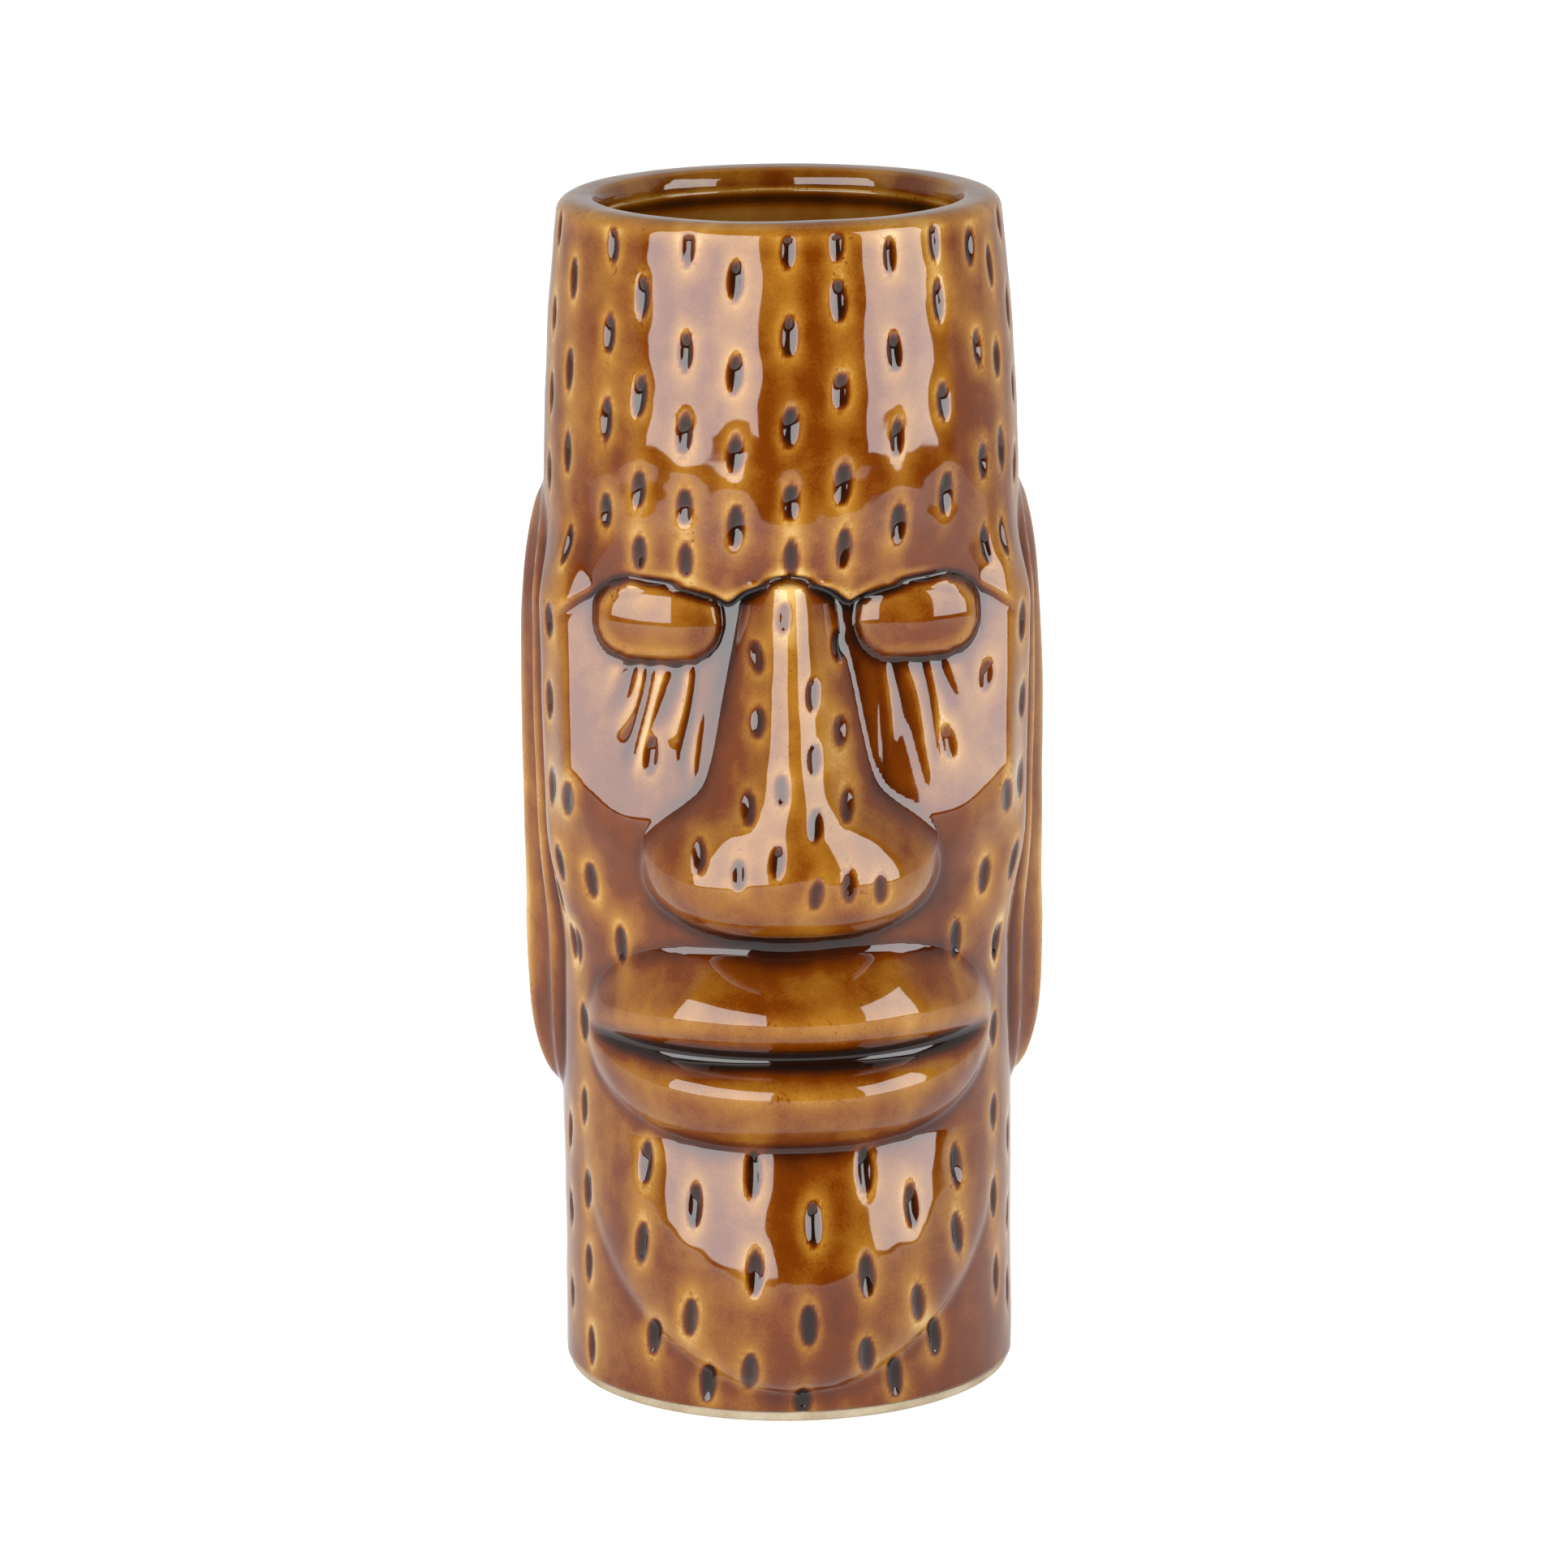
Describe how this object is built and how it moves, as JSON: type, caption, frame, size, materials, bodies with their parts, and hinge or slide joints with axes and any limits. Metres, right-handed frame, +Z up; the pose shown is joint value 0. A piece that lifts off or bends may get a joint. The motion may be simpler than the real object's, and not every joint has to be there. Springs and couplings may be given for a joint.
{
  "type": "figural ceramic mug",
  "caption": "Tall glazed cup cast as a carved long-eared head, with a hollow inside for a drink and a flat foot ring to stand on.",
  "frame": {"origin": "centre of the foot ring, in the plane of the table it stands on", "axes": "+Z up along the mug's axis from the foot to the rim; -Y is the way the face looks; +X is the viewer's right when facing it"},
  "size_m": [0.0786, 0.0815, 0.1804],
  "materials": {
    "bare_clay": "bare fired clay, matt cream",
    "amber_glaze": "glossy amber-brown glaze, dark where it pools and pale where it breaks over edges",
    "inner_glaze": "glossy honey glaze",
    "foot_glaze": "glossy honey glaze"
  },
  "bodies": {
    "root": {"clay_body": "bare_clay", "outer_glaze": "amber_glaze", "liner_glaze": "inner_glaze", "base_glaze": "foot_glaze"}
  },
  "joints": []
}
